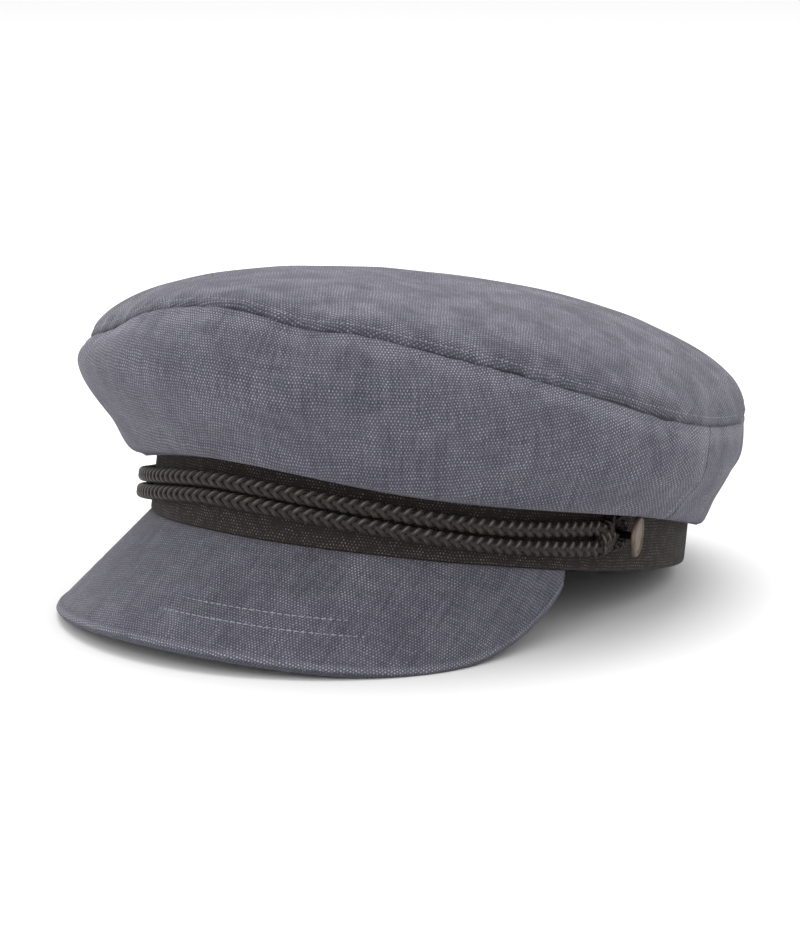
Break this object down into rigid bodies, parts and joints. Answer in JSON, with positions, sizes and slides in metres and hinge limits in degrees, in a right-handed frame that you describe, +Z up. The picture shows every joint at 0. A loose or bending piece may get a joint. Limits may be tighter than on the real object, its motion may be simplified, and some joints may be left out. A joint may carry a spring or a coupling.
{
  "type": "fisherman cap",
  "caption": "Soft canvas cap with a full oval crown, a dark woven hat band, plaited cord trim, side buttons and a stiff sloping peak.",
  "frame": {"origin": "centre of the bounding box, on the surface that the cap rests on", "axes": "+Z up, +Y from the peak to the back of the head, +X to the wearer's left; the cap leans back as it rests on its peak and its rear edge"},
  "size_m": [0.2226, 0.2648, 0.119],
  "materials": {
    "canvas": "washed blue-grey plain-weave canvas, matt",
    "band_cloth": "dark brown-black woven cloth, matt",
    "cord": "dark plaited cord with a soft sheen",
    "metal": "dull aged warm-grey metal"
  },
  "bodies": {
    "root": {"crown_top": "canvas", "crown_front_panel": "canvas", "crown_back_panel": "canvas", "peak": "canvas", "hat_band": "band_cloth", "cord_upper": "cord", "cord_lower": "cord", "cord_knot_left": "cord", "cord_knot_right": "cord", "cord_loop_left": "cord", "cord_loop_right": "cord", "button_left": "metal", "button_right": "metal"}
  },
  "joints": []
}
